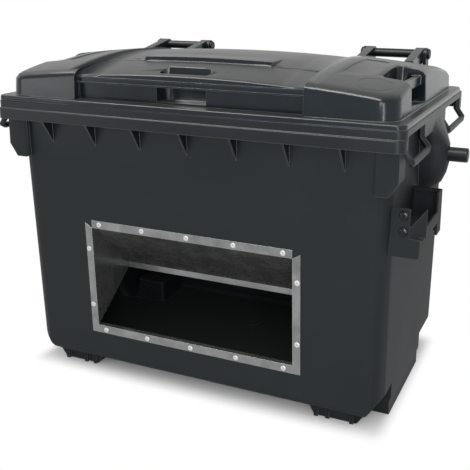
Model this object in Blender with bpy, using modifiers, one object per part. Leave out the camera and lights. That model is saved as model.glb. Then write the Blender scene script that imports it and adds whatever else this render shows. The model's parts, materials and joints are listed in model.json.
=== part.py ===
"""Grit bin, in metres, +Z up, front facing -Y, standing on z = 0.

A moulded four-wheel container body without castors stands on its own feet. A chute of folded galvanised
sheet is riveted into its front wall, and a domed lid turns on two rods at the rear.
"""

import math

import bmesh
import bpy
from mathutils import Matrix, Vector

# Fits
GAP = 0.0003
ROD_CLEARANCE = 0.0004
OVERLAP = 0.002
REACH = 0.020

# Walls and floor of the tub
BODY_HALF_WIDTH = 0.561
WALL = 0.006
FRONT_INSET = 0.049
REAR_INSET = 0.039
FRONT_DRAFT = math.radians(2.43)
SIDE_DRAFT = math.radians(0.6)
BODY_CORNER = 0.045
FLOOR_BOTTOM = 0.030
FLOOR_THICKNESS = 0.008
FLOOR_EDGE = 0.025

# Rim of the tub. Places along the depth are taken from its front and back, and heights from its edges.
RIM_OVERHANG = 0.039
RIM_WIDTH = 2 * (BODY_HALF_WIDTH + RIM_OVERHANG)
RIM_DEPTH = 0.775
FRONT = -RIM_DEPTH / 2
BACK = RIM_DEPTH / 2
RIM_BOTTOM = 0.781
RIM_LEDGE = RIM_BOTTOM + 0.031
RIM_TOP = RIM_LEDGE + 0.022
RIM_STEP = 0.0055
RIM_CORNER = 0.026
RIM_SKIN = 0.006

# Blocks at the front corners, under the rim
SHOULDER_HALF_WIDTH = BODY_HALF_WIDTH + 0.022
SHOULDER_INNER = BODY_HALF_WIDTH - 0.036
SHOULDER_FOOT = RIM_BOTTOM - 0.116
SHOULDER_KNEE = RIM_BOTTOM - 0.079
SHOULDER_FRONT = FRONT + 0.0325
SHOULDER_LENGTH = 0.057

# Gussets under the rim
GUSSET_PITCH = 0.147
GUSSETS_EACH_SIDE = 3
GUSSET_DROP = 0.073
GUSSET_THICKNESS = 0.005
GUSSET_RISE = 0.020

# Feet, skids and chamfered lower corners
CHAMFER_TOP = 0.100
CHAMFER_SLOPE = 0.74
SKID_FRONT = FRONT + 0.190
SKID_BACK = BACK - 0.245
SKID_INNER = BODY_HALF_WIDTH - 0.136
FOOT_FRONT_INSET = 0.108
FOOT_INNER = BODY_HALF_WIDTH - 0.201
FOOT_SLOPE = 0.020
FOOT_WALL = 0.007
FOOT_RIB_PROUD = 0.0085
FOOT_RIB_WIDTH = 0.011
FOOT_RIB_HEIGHT = 0.043
FOOT_RIBS = (FOOT_INNER + 0.006, FOOT_INNER + 0.039, FOOT_INNER + 0.108)
HOUSING_HALF_WIDTH = 0.065
HOUSING_HEIGHT = 0.105
HOUSING_X = BODY_HALF_WIDTH - 0.131
HOUSING_TAPER = 0.012
HOUSING_CORNER = 0.010

# Rim grips at the sides
GRIP_BAR_RADIUS = 0.0092
GRIP_REACH = 0.009
GRIP_SETBACK = 0.0096
GRIP_NOTCH = 0.0017
GRIP_KNEE = 0.0035
GRIP_HANG = 0.029
GRIP_BEND = 0.012
GRIP_WINDOW_TOP = RIM_TOP - 0.016
GRIP_SPANS = ((FRONT + 0.0340, FRONT + 0.2195), (BACK - 0.2875, BACK - 0.0525))

# Receiver pocket on the right side
RECEIVER_FRONT = FRONT + 0.0805
RECEIVER_BACK = RECEIVER_FRONT + 0.2295
RECEIVER_TOP = RIM_BOTTOM - 0.151
RECEIVER_BOTTOM = RECEIVER_TOP - 0.127
RECEIVER_FACE = BODY_HALF_WIDTH + 0.076
RECEIVER_FRONT_FACE = RECEIVER_FACE - 0.0075
RECEIVER_WALL = 0.007
RECEIVER_LIP = 0.012
RECEIVER_RAMP_X = RECEIVER_FACE - 0.033
RECEIVER_RAMP_LENGTH = 0.037
RECEIVER_RAMP_LOW = RECEIVER_TOP - 0.048
RECEIVER_RAMP_HIGH = RECEIVER_TOP - 0.006
RECEIVER_RAIL_TOP = RECEIVER_TOP - 0.053
RECEIVER_RAIL_BOTTOM = RECEIVER_RAIL_TOP - 0.030
RECEIVER_POST = 0.048
RECEIVER_POST_BOTTOM = RECEIVER_BOTTOM + 0.009
RECEIVER_CORNER = 0.008
RECEIVER_RIB = 0.010
RECEIVER_RIB_INSET = 0.006
RECEIVER_BOLT_X = BODY_HALF_WIDTH + 0.027
RECEIVER_BOLTS = (RECEIVER_TOP - 0.018, RECEIVER_TOP - 0.060)
BOLT_RADIUS = 0.005
BOLT_HEAD_RADIUS = 0.0125
BOLT_HEAD_HEIGHT = 0.006
BOLT_TAIL = 0.004
NUT_RADIUS = 0.0095
NUT_HEIGHT = 0.008

# Trunnions and their cheeks
TRUNNION_Y = RECEIVER_BACK + 0.088
TRUNNION_Z = RIM_BOTTOM - 0.0745
TRUNNION_RADIUS = 0.020
TRUNNION_TIP = BODY_HALF_WIDTH + 0.124
TRUNNION_ROOT = BODY_HALF_WIDTH + 0.025
TRUNNION_CHAMFER = 0.003
CHEEK_FACE = BODY_HALF_WIDTH + 0.073
CHEEK_HALF_WIDTH = 0.046
CHEEK_FLARE = 0.036
CHEEK_COLLAR = 0.006
CHEEK_RISE = 0.025
CHEEK_FOOT = RIM_BOTTOM - 0.181
CHEEK_FOOT_REACH = 0.026
CHEEK_FOOT_WIDTH = 0.016
CHEEK_TOP_REACH = 0.040
CHEEK_ROUND = 2.8
CHEEK_STEPS = 10

# Chute, measured along the front wall
CHUTE_X = -0.0105
CHUTE_Z = 0.307
CHUTE_HALF_WIDTH = 0.338
CHUTE_HALF_HEIGHT = 0.181
CHUTE_FLANGE = 0.0235
CHUTE_SIDE_FLANGE = 0.0210
CHUTE_SHEET = 0.0015
CHUTE_DEPTH = 0.180
CHUTE_LIP_RISE = -0.017
CHUTE_LIP = 0.020
CHUTE_RETURN = 0.014
CHUTE_MITRE_DROP = 0.010
CHUTE_CUT_MARGIN = 0.003
RIVET_RADIUS = 0.0024
RIVET_HEAD_RADIUS = 0.0078
RIVET_HEAD_HEIGHT = 0.0028
RIVET_BULB_RADIUS = 0.0042
RIVET_BULB_LENGTH = 0.006
RIVET_PITCH = 0.1445
RIVET_SIDE_RISE = 0.090
RIVET_SIDE_INSET = 0.0088
RIVET_SIDES = 8

# Hinge rods at the rear
HINGE_Y = BACK - 0.020
HINGE_Z = RIM_TOP + 0.109
HINGE_X = BODY_HALF_WIDTH - 0.178
ROD_RADIUS = 0.014
ROD_BORE = 0.010
ROD_PROUD = 0.001
EYE_RADIUS = 0.0195
ARM_EYE_RADIUS = 0.0195
ARM_LENGTH = 0.155
ARM_SINK = 0.004
ARM_FOOT_RISE = 0.025
ARM_NECK = 0.012
ARM_INNER = 0.066
ARM_THICKNESS = 0.026
LUG_THICKNESS = 0.011
LUG_FOOT_FRONT = HINGE_Y - 0.0185
LUG_NOTCH = 0.004
CAP_RADIUS = 0.0165
CAP_THICKNESS = 0.007
CAP_SPIGOT = 0.016
CAP_CHAMFER = 0.003

# Lid. A fall is how far a dome drops from its crown to the named edge.
LID_HALF_WIDTH = RIM_WIDTH / 2 - 0.002
LID_FRONT = FRONT + 0.006
LID_BACK = HINGE_Y - 0.003
LID_CORNER = 0.026
LID_FLANGE_TOP = RIM_TOP + 0.014
LID_WALL = 0.005
LID_CROWN_Y = (LID_FRONT + LID_BACK) / 2 - 0.019
BLOCK_PEAK = RIM_TOP + 0.1395
BLOCK_FRONT = LID_FRONT + 0.021
BLOCK_HALF_WIDTH = LID_HALF_WIDTH - 0.025
BLOCK_SIDE_FALL = 0.0361
BLOCK_FRONT_FALL = 0.0366
BLOCK_CORNER = 0.050
BLOCK_EDGE = 0.026
BLOCK_DRAFT = 0.008
BLOCK_GRID = (10, 26)
CENTRE_PEAK = RIM_TOP + 0.134
CENTRE_FRONT = LID_FRONT + 0.042
CENTRE_HALF_WIDTH = BLOCK_HALF_WIDTH - 0.234
CENTRE_SIDE_FALL = 0.0121
CENTRE_FRONT_FALL = 0.0435
CENTRE_LIP_RADIUS = 0.004
CENTRE_TUCK = 0.012
CENTRE_GRID = (8, 22)
DOME_BACK = LID_BACK - 0.0265
DOME_TAIL_RADIUS = 0.040
LIP_PROUD = 0.004
LIP_HEIGHT = 0.004
BAND_BOTTOM = RIM_TOP + 0.059
PANEL_SETBACK = 0.006
GRIP_X = -0.0145
GRIP_HALF_WIDTH = 0.0745
GRIP_BAR_DEPTH = 0.018
GRIP_POCKET_BACK = CENTRE_FRONT + 0.060
GRIP_FLOOR = LID_FLANGE_TOP + 0.005
GRIP_CORNER = 0.012
SIDE_GRIP_FRONT = LID_FRONT + 0.172
SIDE_GRIP_BACK = SIDE_GRIP_FRONT + 0.167
SIDE_GRIP_INNER = BLOCK_HALF_WIDTH - 0.081
SIDE_GRIP_BAR_BOTTOM = RIM_TOP + 0.066
SIDE_GRIP_BAR_TOP = SIDE_GRIP_BAR_BOTTOM + 0.024
SIDE_GRIP_BAR_DEPTH = 0.014
SIDE_GRIP_SETBACK = 0.018
SIDE_GRIP_CORNER = 0.016
RAISED_HALF_WIDTH = 0.195
RAISED_FRONT = CENTRE_FRONT + 0.129
RAISED_LENGTH = 0.095
RAISED_HEIGHT = 0.010
RAISED_SINK = 0.002
RAISED_GRID = (8, 6)
RECESS_INNER = CENTRE_HALF_WIDTH + 0.051
RECESS_OUTER = RECESS_INNER + 0.070
RECESS_FRONT = BLOCK_FRONT + 0.150
RECESS_LENGTH = 0.2205
RECESS_DEPTH = 0.002
RECESS_GRID = (2, 6)
LID_CLEAR = max(CENTRE_PEAK + RAISED_HEIGHT, BLOCK_PEAK) + REACH

# Drain plug in the floor
PLUG_X = 0.0
PLUG_Y = 0.120
PLUG_RADIUS = 0.024
PLUG_FLANGE = 0.032
PLUG_FLANGE_HEIGHT = 0.005
PLUG_TAIL = 0.004


def clear_scene():
    for item in list(bpy.data.objects):
        bpy.data.objects.remove(item, do_unlink=True)


def principled(name, colour, roughness, metallic):
    coat = bpy.data.materials.new(name)
    coat.use_nodes = True
    shader = coat.node_tree.nodes["Principled BSDF"]
    shader.inputs["Base Color"].default_value = (*colour, 1.0)
    shader.inputs["Roughness"].default_value = roughness
    shader.inputs["Metallic"].default_value = metallic
    return coat


clear_scene()
BIN = bpy.data.collections.new("grit_bin")
bpy.context.scene.collection.children.link(BIN)


def add_object(name, bm, coat=None, closed=True):
    """Makes an object of a bmesh. A closed one gets its faces turned outward."""
    if closed:
        bmesh.ops.recalc_face_normals(bm, faces=bm.faces)
        if bm.calc_volume(signed=True) < 0:
            bmesh.ops.reverse_faces(bm, faces=bm.faces)
    mesh = bpy.data.meshes.new(name)
    bm.to_mesh(mesh)
    bm.free()
    if coat:
        mesh.materials.append(coat)
    piece = bpy.data.objects.new(name, mesh)
    BIN.objects.link(piece)
    return piece


def combine(piece, tool, operation):
    """Applies one exact Boolean and removes the tool."""
    modifier = piece.modifiers.new(operation, "BOOLEAN")
    modifier.operation = operation
    modifier.solver = "EXACT"
    modifier.object = tool
    bpy.context.view_layer.update()
    graph = bpy.context.evaluated_depsgraph_get()
    mesh = bpy.data.meshes.new_from_object(piece.evaluated_get(graph))
    piece.modifiers.remove(modifier)
    piece.data = mesh
    bpy.data.objects.remove(tool, do_unlink=True)


def unite(piece, tool):
    combine(piece, tool, "UNION")


def cut(piece, tool):
    combine(piece, tool, "DIFFERENCE")


def tapered_box(name, low, low_plan, high, high_plan, corner=0.0, edge=0.0, coat=None):
    """A box between two plans (left, right, front, back). corner rounds its uprights, and edge its foot."""
    bm = bmesh.new()
    bmesh.ops.create_cube(bm, size=1.0)
    for vert in bm.verts:
        left, right, front, back = high_plan if vert.co.z > 0 else low_plan
        x = right if vert.co.x > 0 else left
        y = back if vert.co.y > 0 else front
        vert.co = (x, y, high if vert.co.z > 0 else low)
    if corner:
        tall = (high - low) / 2
        uprights = [e for e in bm.edges if abs(e.verts[0].co.z - e.verts[1].co.z) > tall]
        bmesh.ops.bevel(
            bm, geom=uprights, offset=corner, segments=6, profile=0.5, affect="EDGES", material=-1
        )
    if edge:
        foot = [e for e in bm.edges if max(v.co.z for v in e.verts) < low + 1e-6]
        bmesh.ops.bevel(bm, geom=foot, offset=edge, segments=4, profile=0.5, affect="EDGES", material=-1)
    return add_object(name, bm, coat)


def box(name, left, right, front, back, low, high, coat=None):
    plan = (left, right, front, back)
    return tapered_box(name, low, plan, high, plan, coat=coat)


def prism(name, outline, axis, start, end, coat=None):
    """An outline of two coordinates a point, pushed along an axis from start to end."""
    place = {
        "X": lambda a, b, along: Vector((along, a, b)),
        "Y": lambda a, b, along: Vector((a, along, b)),
        "Z": lambda a, b, along: Vector((a, b, along)),
    }[axis]
    bm = bmesh.new()
    face = bm.faces.new([bm.verts.new(place(a, b, start)) for a, b in outline])
    pushed = bmesh.ops.extrude_face_region(bm, geom=[face])
    moved = [item for item in pushed["geom"] if isinstance(item, bmesh.types.BMVert)]
    bmesh.ops.translate(bm, verts=moved, vec=place(0, 0, end) - place(0, 0, start))
    return add_object(name, bm, coat)


def edge_runs(edge, axis):
    """Whether an edge runs along an axis, 0 to 2."""
    run = edge.verts[0].co - edge.verts[1].co
    return abs(run[axis]) > 0.99 * run.length


def edge_below(edge, height):
    return max(vert.co.z for vert in edge.verts) < height


def round_edges(piece, radius, chosen, segments=3):
    """Rounds the edges that a test chooses."""
    bm = bmesh.new()
    bm.from_mesh(piece.data)
    edges = [edge for edge in bm.edges if chosen(edge)]
    shape = {"segments": segments, "profile": 0.5, "affect": "EDGES", "material": -1}
    bmesh.ops.bevel(bm, geom=edges, offset=radius, **shape)
    bm.to_mesh(piece.data)
    bm.free()


def revolved(name, profile, segments, frame, coat=None):
    """A profile of (radius, height) points spun about the local Z axis of a frame matrix."""
    bm = bmesh.new()
    verts = [bm.verts.new((radius, 0.0, height)) for radius, height in profile]
    edges = [bm.edges.new(pair) for pair in zip(verts, verts[1:])]
    bmesh.ops.spin(
        bm,
        geom=verts + edges,
        cent=(0, 0, 0),
        axis=(0, 0, 1),
        angle=math.tau,
        steps=segments,
        use_merge=True,
    )
    bmesh.ops.remove_doubles(bm, verts=bm.verts, dist=1e-6)
    bm.transform(frame)
    return add_object(name, bm, coat)


def dome(radius, base, height, steps):
    """A rounded head in section, from its rim up to its crown."""
    turns = [math.pi / 2 * i / steps for i in range(steps + 1)]
    return [(radius * math.cos(t), base + height * math.sin(t)) for t in turns]


def rod(name, radius, start, end, frame, coat=None, segments=24):
    return revolved(name, [(0, start), (radius, start), (radius, end), (0, end)], segments, frame, coat)


def arc(centre_a, centre_b, radius, start_deg, end_deg, steps):
    turns = [math.radians(start_deg + (end_deg - start_deg) * i / steps) for i in range(steps + 1)]
    return [(centre_a + radius * math.cos(t), centre_b + radius * math.sin(t)) for t in turns]


def along_x(x, y, z, sign=1):
    """A frame at a point whose local Z runs outward along X on the given side."""
    return Matrix.Translation((x, y, z)) @ Matrix.Rotation(sign * math.pi / 2, 4, "Y")


def body_plan(z, inset=0.0):
    drop = RIM_BOTTOM - z
    half = BODY_HALF_WIDTH - drop * math.tan(SIDE_DRAFT) - inset
    front = FRONT + FRONT_INSET + drop * math.tan(FRONT_DRAFT) + inset
    back = BACK - REAR_INSET - drop * math.tan(FRONT_DRAFT) - inset
    return (-half, half, front, back)


def side_prism(name, outline, side, start, end):
    """A prism along Y whose outline is given for the right side."""
    return prism(name, [(side * x, z) for x, z in outline], "Y", start, end)


def chamfer_outline(inset=0.0):
    """The wedge outside the sloping lower side wall, moved inward by an inset."""
    side = body_plan(CHAMFER_TOP)[1] - inset
    outside = RIM_WIDTH / 2
    top = CHAMFER_TOP + inset
    return [(side, top), (outside, top), (outside, -REACH), (side - CHAMFER_SLOPE * (top + REACH), -REACH)]


def shoulder_outline(top, inset=0.0):
    """A corner block in front view, up to a top. An inset gives the hollow inside it."""
    inner = SHOULDER_INNER + inset
    foot = SHOULDER_FOOT + inset
    outer = SHOULDER_HALF_WIDTH - inset
    wall = body_plan(SHOULDER_FOOT)[1] - OVERLAP - inset
    return [(inner, foot), (wall, foot), (outer, SHOULDER_KNEE + inset), (outer, top), (inner, top)]


def shoulder_range(inset=0.0):
    return SHOULDER_FRONT + inset, SHOULDER_FRONT + SHOULDER_LENGTH - inset


def side_frames():
    """The two sides as (name, sign)."""
    return (("left", -1), ("right", 1))


def corner_ranges():
    """The chamfered corner zones at the front and the rear, as Y ranges."""
    return ((FRONT, SKID_FRONT), (SKID_BACK, BACK))


def foot_ranges():
    back_inset = REAR_INSET + (FOOT_FRONT_INSET - FRONT_INSET)
    return ((FRONT + FOOT_FRONT_INSET, SKID_FRONT), (SKID_BACK, BACK - back_inset))


def housing(name, side, span, low, high, inset):
    """A castor housing over a foot, which rises inside the tub at its corner and narrows upward."""
    middle = (span[0] + span[1]) / 2
    reach = (span[1] - span[0]) / 2 - inset
    centre = side * HOUSING_X
    half = HOUSING_HALF_WIDTH - inset
    foot = (centre - half, centre + half, middle - reach, middle + reach)
    half -= HOUSING_TAPER
    reach -= HOUSING_TAPER
    crown = (centre - half, centre + half, middle - reach, middle + reach)
    return tapered_box(name, low, foot, high, crown, HOUSING_CORNER)


def add_foot(tub, side, start, end):
    """A foot whose inner end slopes up to the floor."""
    outer = side * (BODY_HALF_WIDTH - FLOOR_EDGE)
    low = sorted((side * FOOT_INNER, outer))
    high = sorted((side * (FOOT_INNER - FOOT_SLOPE), outer))
    top = FLOOR_BOTTOM + FLOOR_THICKNESS / 2
    unite(tub, tapered_box("foot", -OVERLAP, (*low, start, end), top, (*high, start, end)))


def add_receiver_rib(tub, side):
    """The upright rib on the side wall that a receiver is bolted to."""
    start = RECEIVER_FRONT + RECEIVER_WALL + GAP
    root = body_plan(RECEIVER_BOTTOM)[1] - OVERLAP
    edges = sorted((side * root, side * (RECEIVER_RAMP_X - RECEIVER_RIB_INSET)))
    low = RECEIVER_BOTTOM + RECEIVER_RIB_INSET
    high = RECEIVER_TOP - RECEIVER_RIB_INSET
    unite(tub, box("rib", *edges, start, start + RECEIVER_RIB, low, high))


def tub_outer():
    """The outside of the tub with its corner blocks, feet and skids, cut level with the ground."""
    low = body_plan(FLOOR_BOTTOM)
    tub = tapered_box("tub", FLOOR_BOTTOM, low, RIM_LEDGE, body_plan(RIM_LEDGE), BODY_CORNER, FLOOR_EDGE)
    shoulder = shoulder_outline(RIM_TOP - RIM_SKIN / 2)
    for _, side in side_frames():
        unite(tub, side_prism("shoulder", shoulder, side, *shoulder_range()))
        for start, end in foot_ranges():
            add_foot(tub, side, start, end)
        edges = sorted((side * SKID_INNER, side * (BODY_HALF_WIDTH - FLOOR_EDGE / 2)))
        skid = (SKID_FRONT - OVERLAP, SKID_BACK + OVERLAP)
        unite(tub, box("skid", *edges, *skid, -2 * OVERLAP, FLOOR_BOTTOM + FLOOR_EDGE))
        for x in FOOT_RIBS:
            left = side * x - FOOT_RIB_WIDTH / 2
            back = FRONT + FOOT_FRONT_INSET
            plan = (left, left + FOOT_RIB_WIDTH, back - FOOT_RIB_PROUD, back + OVERLAP)
            unite(tub, box("rib", *plan, -3 * OVERLAP, FOOT_RIB_HEIGHT))
        for start, end in corner_ranges():
            cut(tub, side_prism("chamfer", chamfer_outline(), side, start, end))
    cut(tub, box("ground", -RIM_WIDTH / 2, RIM_WIDTH / 2, FRONT, BACK, -REACH, 0.0))
    add_receiver_rib(tub, 1)
    return tub


def rim_solid():
    """The two-step front band and the deep skirt round the other sides, with a channel open below."""
    half = RIM_WIDTH / 2
    low = (-half, half, FRONT, BACK)
    high = (-half, half, FRONT + RIM_STEP, BACK)
    rim = tapered_box("rim", RIM_BOTTOM, low, RIM_LEDGE, low, RIM_CORNER)
    unite(rim, tapered_box("band", RIM_LEDGE - OVERLAP, high, RIM_TOP, high, RIM_CORNER))
    inner = tuple(edge - math.copysign(RIM_SKIN + RIM_STEP, edge) for edge in low)
    below = RIM_BOTTOM - REACH
    channel = tapered_box("channel", below, inner, RIM_TOP - RIM_SKIN, inner, RIM_CORNER - RIM_SKIN)
    core = (below - OVERLAP, RIM_TOP)
    walls = [body_plan(z, OVERLAP) for z in core]
    cut(channel, tapered_box("core", core[0], walls[0], core[1], walls[1], BODY_CORNER))
    cut(rim, channel)
    return rim


def tub_cavity():
    """The inside of the tub, open at the top, with the hollows of its corner blocks."""
    low = FLOOR_BOTTOM + FLOOR_THICKNESS
    high = RIM_TOP + REACH
    plans = (body_plan(low, WALL), body_plan(high, WALL))
    corner = BODY_CORNER - WALL
    cavity = tapered_box("cavity", low, plans[0], high, plans[1], corner, FLOOR_EDGE - WALL)
    for _, side in side_frames():
        unite(cavity, side_prism("shoulder", shoulder_outline(high, WALL), side, *shoulder_range(WALL)))
        for start, end in corner_ranges():
            cut(cavity, side_prism("chamfer", chamfer_outline(WALL), side, start - WALL, end + WALL))
        for span in foot_ranges():
            cut(cavity, housing("housing", side, span, 0.0, HOUSING_HEIGHT, 0.0))
    return cavity


def add_gussets(tub):
    """Thin triangles that prop the rim off the front and rear walls."""
    top = RIM_BOTTOM + GUSSET_RISE
    tip = RIM_BOTTOM - GUSSET_DROP
    for face, outer in ((2, FRONT + RIM_SKIN), (3, BACK - RIM_SKIN)):
        outline = [(outer, top), (outer, RIM_BOTTOM), (body_plan(tip, WALL / 2)[face], tip)]
        outline.append((body_plan(top, WALL / 2)[face], top))
        for index in range(-GUSSETS_EACH_SIDE, GUSSETS_EACH_SIDE + 1):
            left = index * GUSSET_PITCH - GUSSET_THICKNESS / 2
            unite(tub, prism("gusset", outline, "X", left, left + GUSSET_THICKNESS))


def half_round(root, reach, half_width):
    """Half of a rounded oblong, standing out from a root line along Y."""
    power = 2 / CHEEK_ROUND
    points = []
    for step in range(CHEEK_STEPS + 1):
        turn = math.pi * step / CHEEK_STEPS
        across = math.copysign(abs(math.cos(turn)) ** power, -math.cos(turn))
        points.append((root + (reach - root) * math.sin(turn) ** power, half_width * across))
    return points


def cheek_sections():
    """The cheek from its foot up: height, reach and half width."""
    collar = TRUNNION_RADIUS + CHEEK_COLLAR
    bulge = CHEEK_FACE - BODY_HALF_WIDTH
    return [
        (CHEEK_FOOT, CHEEK_FOOT_REACH, CHEEK_FOOT_WIDTH),
        (CHEEK_FOOT + 0.26 * (TRUNNION_Z - CHEEK_FOOT), 0.76 * bulge, 0.70 * CHEEK_HALF_WIDTH),
        (TRUNNION_Z - 2 * collar, 0.92 * bulge, 0.92 * CHEEK_HALF_WIDTH),
        (TRUNNION_Z - collar, bulge, CHEEK_HALF_WIDTH),
        (TRUNNION_Z + collar, bulge, CHEEK_HALF_WIDTH),
        (TRUNNION_Z + 2 * collar, 0.86 * bulge, CHEEK_HALF_WIDTH + 0.4 * CHEEK_FLARE),
        (RIM_BOTTOM, 0.72 * bulge, CHEEK_HALF_WIDTH + CHEEK_FLARE),
        (RIM_BOTTOM + CHEEK_RISE, CHEEK_TOP_REACH, CHEEK_HALF_WIDTH + CHEEK_FLARE),
    ]


def loft(name, rings):
    """A closed body through rings of as many points each, from the lowest to the highest."""
    bm = bmesh.new()
    rows = [[bm.verts.new(point) for point in ring] for ring in rings]
    for low, high in zip(rows, rows[1:]):
        for index in range(len(low)):
            bm.faces.new((low[index - 1], low[index], high[index], high[index - 1]))
    bm.faces.new(rows[0])
    bm.faces.new(rows[-1])
    bmesh.ops.triangulate(bm, faces=bm.faces)
    return add_object(name, bm)


def add_cheek(tub, side):
    """The rounded boss that holds a trunnion, flared up to the rim, with its blind bore."""
    root = BODY_HALF_WIDTH - WALL / 2
    rings = []
    for height, reach, half_width in cheek_sections():
        plan = half_round(root, BODY_HALF_WIDTH + reach, half_width)
        rings.append([(side * x, TRUNNION_Y + y, height) for x, y in plan])
    unite(tub, loft("cheek", rings))
    frame = along_x(0, TRUNNION_Y, TRUNNION_Z, side)
    cut(tub, rod("bore", TRUNNION_RADIUS + GAP, TRUNNION_ROOT - GAP, CHEEK_FACE + REACH, frame))


def grip_path(side, start, end):
    """The middle line of a carrying loop, from the rim's underside down, along and up again."""
    post = side * (RIM_WIDTH / 2 - GRIP_SETBACK)
    bar = side * (RIM_WIDTH / 2 + GRIP_REACH)
    top = RIM_TOP - RIM_SKIN / 2
    low = RIM_BOTTOM - GRIP_HANG
    return [
        (post, start, top),
        (post, start, RIM_BOTTOM + GRIP_KNEE),
        (bar, start, low + GRIP_BEND / 2),
        (bar, start + GRIP_BEND, low),
        (bar, end - GRIP_BEND, low),
        (bar, end, low + GRIP_BEND / 2),
        (post, end, RIM_BOTTOM + GRIP_KNEE),
        (post, end, top),
    ]


def add_grip(tub, side, start, end):
    """A carrying loop on the rim's side: a window in the skirt, and a bent bar that hangs below it."""
    skin = RIM_WIDTH / 2 - RIM_SKIN - RIM_STEP
    window = sorted((side * (skin - OVERLAP), side * (RIM_WIDTH / 2 + REACH)))
    notch = (start + GRIP_NOTCH, end - GRIP_NOTCH)
    cut(tub, box("window", *window, *notch, RIM_BOTTOM - REACH, GRIP_WINDOW_TOP))
    path = bpy.data.curves.new("grip", "CURVE")
    path.dimensions = "3D"
    path.bevel_depth = GRIP_BAR_RADIUS
    path.bevel_resolution = 2
    path.use_fill_caps = True
    line = path.splines.new("POLY")
    points = grip_path(side, start, end)
    line.points.add(len(points) - 1)
    for knot, point in zip(line.points, points):
        knot.co = (*point, 1.0)
    sweep = bpy.data.objects.new("grip", path)
    BIN.objects.link(sweep)
    bpy.context.view_layer.update()
    graph = bpy.context.evaluated_depsgraph_get()
    bar = bpy.data.objects.new("grip_bar", bpy.data.meshes.new_from_object(sweep.evaluated_get(graph)))
    BIN.objects.link(bar)
    bpy.data.objects.remove(sweep, do_unlink=True)
    bm = bmesh.new()
    bm.from_mesh(bar.data)
    bmesh.ops.remove_doubles(bm, verts=bm.verts, dist=1e-6)
    bmesh.ops.triangulate(bm, faces=bm.faces)
    bmesh.ops.recalc_face_normals(bm, faces=bm.faces)
    bm.to_mesh(bar.data)
    bm.free()
    unite(tub, bar)


def lug_offsets():
    """Where the tub's hinge lugs start and end, measured along X from the middle of a rod."""
    inner = ARM_INNER + ARM_THICKNESS + GAP
    return inner, inner + LUG_THICKNESS


def add_hinge_lugs(tub):
    outline = [
        (LUG_FOOT_FRONT, RIM_TOP - RIM_SKIN / 2),
        (HINGE_Y + EYE_RADIUS, RIM_TOP - RIM_SKIN / 2),
        *arc(HINGE_Y, HINGE_Z, EYE_RADIUS, 0, 180, 12),
    ]
    inner, outer = lug_offsets()
    for _, side in side_frames():
        for end in (-1, 1):
            near = side * HINGE_X + end * inner
            far = side * HINGE_X + end * outer
            unite(tub, prism("lug", outline, "X", min(near, far), max(near, far)))
        frame = along_x(side * HINGE_X, HINGE_Y, HINGE_Z)
        cut(tub, rod("bore", ROD_RADIUS + ROD_CLEARANCE, -outer - REACH, outer + REACH, frame))


def wall_frame():
    """The chute's frame: X to the right, Y up along the front wall, Z outward from it."""
    y = body_plan(CHUTE_Z)[2]
    turn = Matrix.Rotation(math.pi / 2 + FRONT_DRAFT, 4, "X")
    return Matrix.Translation((CHUTE_X, y, CHUTE_Z)) @ turn


def throat():
    """Half sizes of the chute's clear mouth."""
    return CHUTE_HALF_WIDTH - CHUTE_SIDE_FLANGE, CHUTE_HALF_HEIGHT - CHUTE_FLANGE


def rivet_places():
    """Each rivet's name and place on the wall."""
    row = CHUTE_HALF_HEIGHT - CHUTE_FLANGE / 2
    column = CHUTE_HALF_WIDTH - RIVET_SIDE_INSET
    for index in range(-2, 3):
        yield f"rivet_top_{index + 3}", index * RIVET_PITCH, row
        yield f"rivet_bottom_{index + 3}", index * RIVET_PITCH, -row
    for name, side in side_frames():
        yield f"rivet_{name}_upper", side * column, RIVET_SIDE_RISE
        yield f"rivet_{name}_lower", side * column, -RIVET_SIDE_RISE


def in_frame(piece, frame):
    piece.data.transform(frame)
    return piece


def cut_rivet_holes(piece, wanted):
    for name, x, rise in rivet_places():
        if name.startswith(wanted):
            place = wall_frame() @ Matrix.Translation((x, rise, 0))
            cut(piece, rod("hole", RIVET_RADIUS + GAP, -REACH, REACH, place, segments=RIVET_SIDES))


def cut_chute_mouth(tub):
    half_width, half_height = throat()
    x = half_width + CHUTE_CUT_MARGIN
    y = half_height + CHUTE_CUT_MARGIN
    cut(tub, in_frame(box("mouth", -x, x, -y, y, -WALL - REACH, REACH), wall_frame()))
    cut_rivet_holes(tub, "rivet_")


def receiver_bolt_frames(side):
    """Each bolt's frame on the receiver's front face, its local Z pointing to the front."""
    for z in RECEIVER_BOLTS:
        place = Matrix.Translation((side * RECEIVER_BOLT_X, RECEIVER_FRONT, z))
        yield place @ Matrix.Rotation(math.pi / 2, 4, "X")


def receiver_stack():
    """How deep the receiver's front wall and the tub's rib lie under a bolt's head."""
    return RECEIVER_WALL + GAP + RECEIVER_RIB


def hollow_feet(tub, side):
    """Opens the castor housings and the skid from below."""
    for span in foot_ranges():
        cut(tub, housing("recess", side, span, -REACH, HOUSING_HEIGHT - WALL, FOOT_WALL))
    inner = SKID_INNER + FOOT_WALL
    outer = BODY_HALF_WIDTH - FLOOR_EDGE / 2 - FOOT_WALL
    edges = sorted((side * inner, side * outer))
    cut(tub, box("hollow", *edges, SKID_FRONT + FOOT_WALL, SKID_BACK - FOOT_WALL, -REACH, FLOOR_BOTTOM))


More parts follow.
